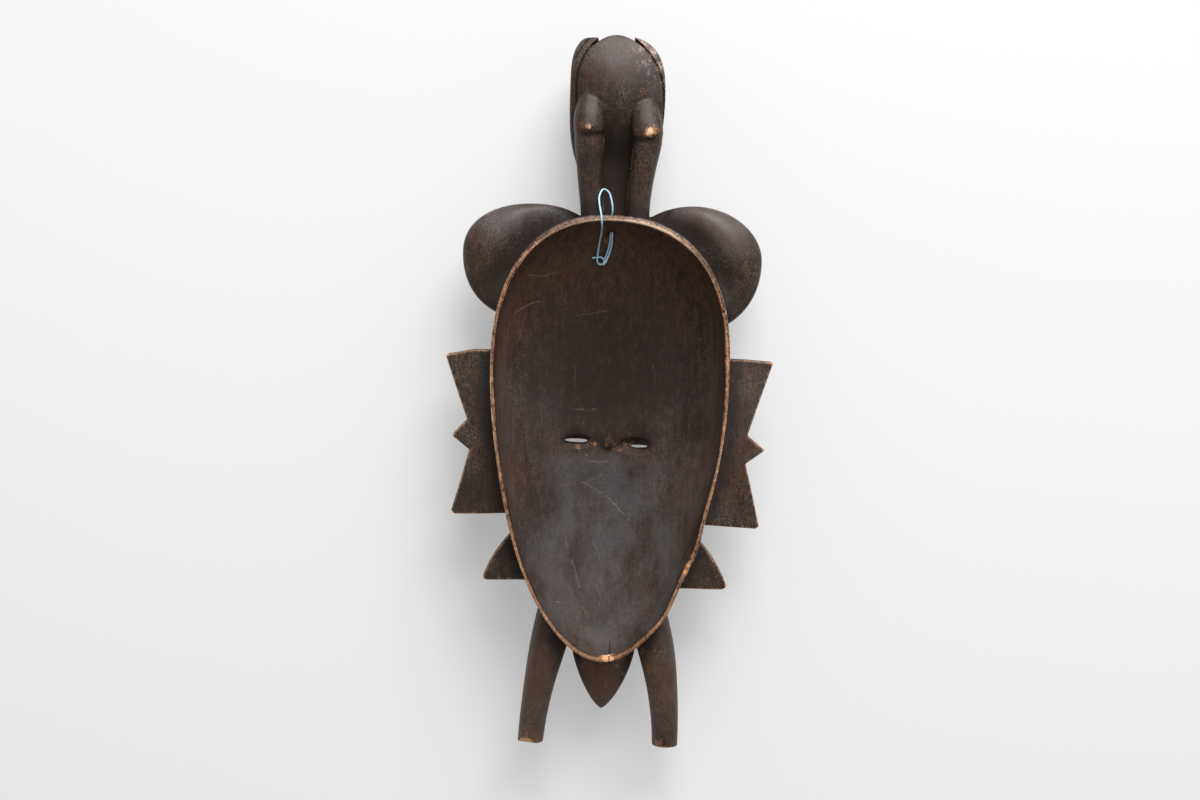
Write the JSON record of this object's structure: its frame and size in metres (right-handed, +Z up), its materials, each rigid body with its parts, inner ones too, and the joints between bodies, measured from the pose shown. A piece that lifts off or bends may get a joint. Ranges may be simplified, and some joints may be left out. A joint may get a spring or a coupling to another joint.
{
  "type": "ritual mask",
  "caption": "Carved dark wood face mask with a bird crest, horns, side boards and legs, hollow at the back, with a hanging wire.",
  "frame": {"origin": "on the floor under the middle of the mask's own box, with the mask lying on its face", "axes": "+X to the right as seen from the hollow back, +Y from the chin to the crest, +Z up out of the hollow back"},
  "size_m": [0.1832, 0.3992, 0.0673],
  "materials": {
    "carved_wood": "dark stained, hand rubbed, worn to bare wood along the rim",
    "coated_wire": "thin light blue coating on metal wire"
  },
  "bodies": {
    "root": {"mask": "carved_wood", "hanging_wire": "coated_wire"}
  },
  "joints": []
}
